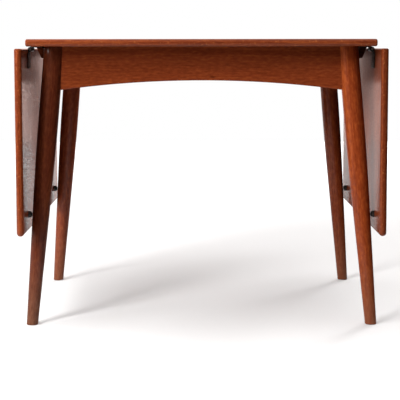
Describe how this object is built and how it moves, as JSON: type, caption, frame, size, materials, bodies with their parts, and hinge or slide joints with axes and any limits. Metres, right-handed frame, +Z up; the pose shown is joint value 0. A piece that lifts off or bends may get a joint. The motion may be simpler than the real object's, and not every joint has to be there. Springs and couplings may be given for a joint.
{
  "type": "drop-leaf table",
  "caption": "Rectangular drop-leaf table on splayed turned legs, with a leaf hanging at each end on back-flap hinges and pull-out lopers below the top.",
  "frame": {"origin": "on the floor under the middle of the table, midway between the four feet", "axes": "+X towards the right-hand leaf, +Y towards the back, +Z up; the leaves hang at rest"},
  "size_m": [0.911, 0.8, 0.72],
  "materials": {
    "top_teak": "oiled teak, satin",
    "leaf_teak": "oiled teak, satin",
    "leg_teak": "oiled turned teak, satin",
    "apron_teak": "oiled teak, satin",
    "bearer_wood": "dark stained hardwood, waxed",
    "inner_wood": "planed hardwood, unfinished",
    "dowel_beech": "plain beech dowel",
    "hinge_iron": "black japanned iron",
    "screw_steel": "blackened steel",
    "bumper_rubber": "moulded black rubber"
  },
  "bodies": {
    "table_frame": {"back_apron": "apron_teak", "back_left_corner_block": "inner_wood", "back_left_hinge_pin": "screw_steel", "back_left_hinge_top_flap": "hinge_iron", "back_left_leg": "leg_teak", "back_left_top_cleat": "inner_wood", "back_right_corner_block": "inner_wood", "back_right_hinge_pin": "screw_steel", "back_right_hinge_top_flap": "hinge_iron", "back_right_leg": "leg_teak", "back_right_top_cleat": "inner_wood", "centre_cross_rail": "inner_wood", "front_apron": "apron_teak", "front_left_corner_block": "inner_wood", "front_left_hinge_pin": "screw_steel", "front_left_hinge_top_flap": "hinge_iron", "front_left_leg": "leg_teak", "front_left_top_cleat": "inner_wood", "front_right_corner_block": "inner_wood", "front_right_hinge_pin": "screw_steel", "front_right_hinge_top_flap": "hinge_iron", "front_right_leg": "leg_teak", "front_right_top_cleat": "inner_wood", "hinge_top_screws": "screw_steel", "left_end_apron": "apron_teak", "left_end_top_cleat": "inner_wood", "right_end_apron": "apron_teak", "right_end_top_cleat": "inner_wood", "table_top": "top_teak", "top_cleat_screws": "screw_steel"},
    "left_wing": {"back_left_bumper": "bumper_rubber", "back_left_hinge_leaf_flap": "hinge_iron", "front_left_bumper": "bumper_rubber", "front_left_hinge_leaf_flap": "hinge_iron", "left_bumper_screws": "screw_steel", "left_leaf": "leaf_teak", "left_leaf_hinge_screws": "screw_steel"},
    "back_left_bearer": {"back_left_loper": "bearer_wood", "back_left_loper_stops": "dowel_beech"},
    "right_wing": {"back_right_bumper": "bumper_rubber", "back_right_hinge_leaf_flap": "hinge_iron", "front_right_bumper": "bumper_rubber", "front_right_hinge_leaf_flap": "hinge_iron", "right_bumper_screws": "screw_steel", "right_leaf": "leaf_teak", "right_leaf_hinge_screws": "screw_steel"},
    "back_right_bearer": {"back_right_loper": "bearer_wood", "back_right_loper_stops": "dowel_beech"},
    "front_left_bearer": {"front_left_loper": "bearer_wood", "front_left_loper_stops": "dowel_beech"},
    "front_right_bearer": {"front_right_loper": "bearer_wood", "front_right_loper_stops": "dowel_beech"}
  },
  "joints": [
    {"name": "left_leaf_fold", "type": "hinge", "parent": "table_frame", "child": "left_wing", "pos_m": [-0.4305, 0, 0.695], "axis": [0, 1, 0], "range_deg": [0, 90]},
    {"name": "right_leaf_fold", "type": "hinge", "parent": "table_frame", "child": "right_wing", "pos_m": [0.4305, 0, 0.695], "axis": [0, -1, 0], "range_deg": [0, 90]},
    {"name": "front_left_loper_pull", "type": "slide", "parent": "table_frame", "child": "front_left_bearer", "axis": [-1, 0, 0], "range_m": [0, 0.012]},
    {"name": "front_right_loper_pull", "type": "slide", "parent": "table_frame", "child": "front_right_bearer", "axis": [1, 0, 0], "range_m": [0, 0.012]},
    {"name": "back_left_loper_pull", "type": "slide", "parent": "table_frame", "child": "back_left_bearer", "axis": [-1, 0, 0], "range_m": [0, 0.012]},
    {"name": "back_right_loper_pull", "type": "slide", "parent": "table_frame", "child": "back_right_bearer", "axis": [1, 0, 0], "range_m": [0, 0.012]}
  ]
}
